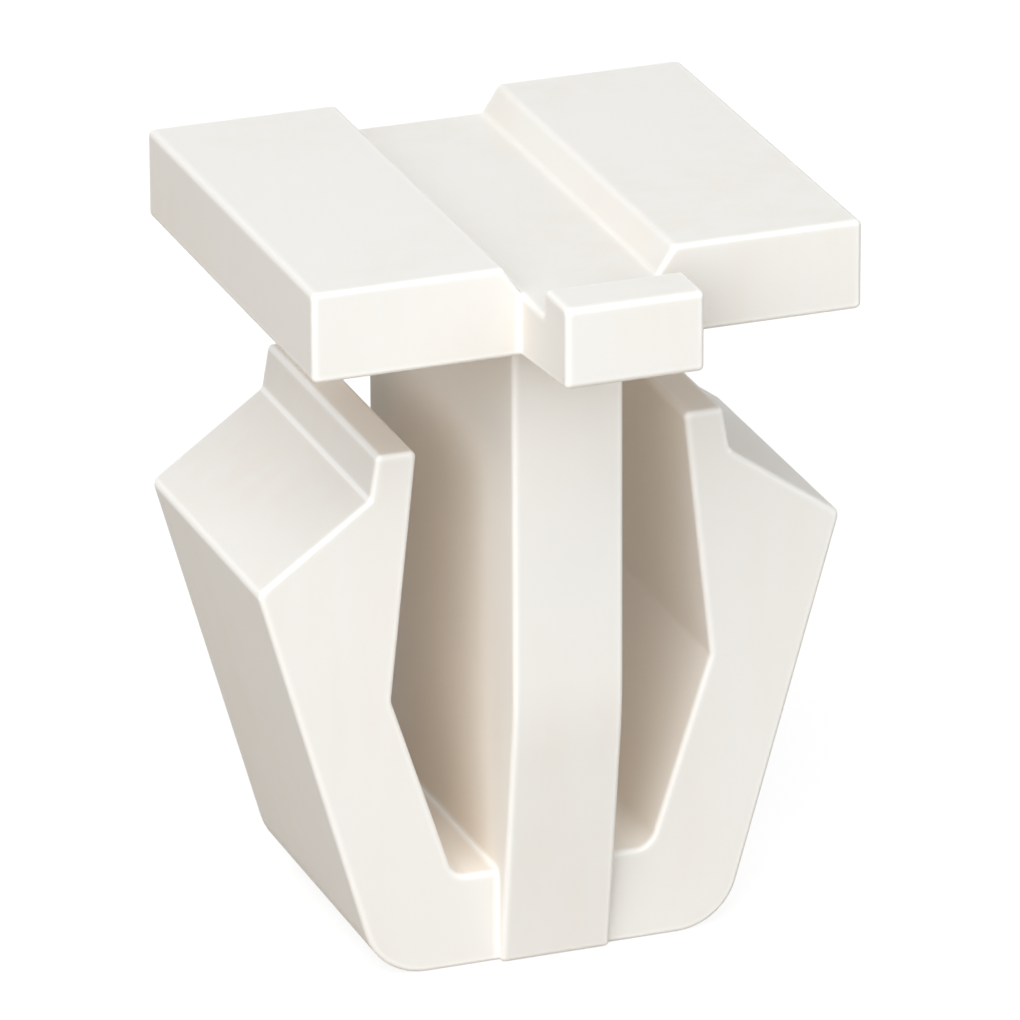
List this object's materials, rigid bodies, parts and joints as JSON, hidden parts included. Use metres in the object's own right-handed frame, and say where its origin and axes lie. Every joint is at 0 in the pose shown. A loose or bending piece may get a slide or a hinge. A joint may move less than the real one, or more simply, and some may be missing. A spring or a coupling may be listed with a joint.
{
  "type": "molding clip",
  "caption": "One-piece moulded nylon clip: a grooved head with a front latch tab that slides into a body moulding, over a flat stem with two spring wings for a panel hole.",
  "frame": {"origin": "centre of the panel's hole, in the plane of the head's underside, where the panel lies", "axes": "+Z out of the panel, from foot to head; Y along the head's groove, with the latch tab at -Y; X across the groove, from wing to wing"},
  "size_m": [0.0162, 0.0163, 0.0207],
  "materials": {
    "nylon": "natural ivory nylon as moulded, satin with a faint fine grain"
  },
  "bodies": {
    "root": {"molding_clip": "nylon"}
  },
  "joints": []
}
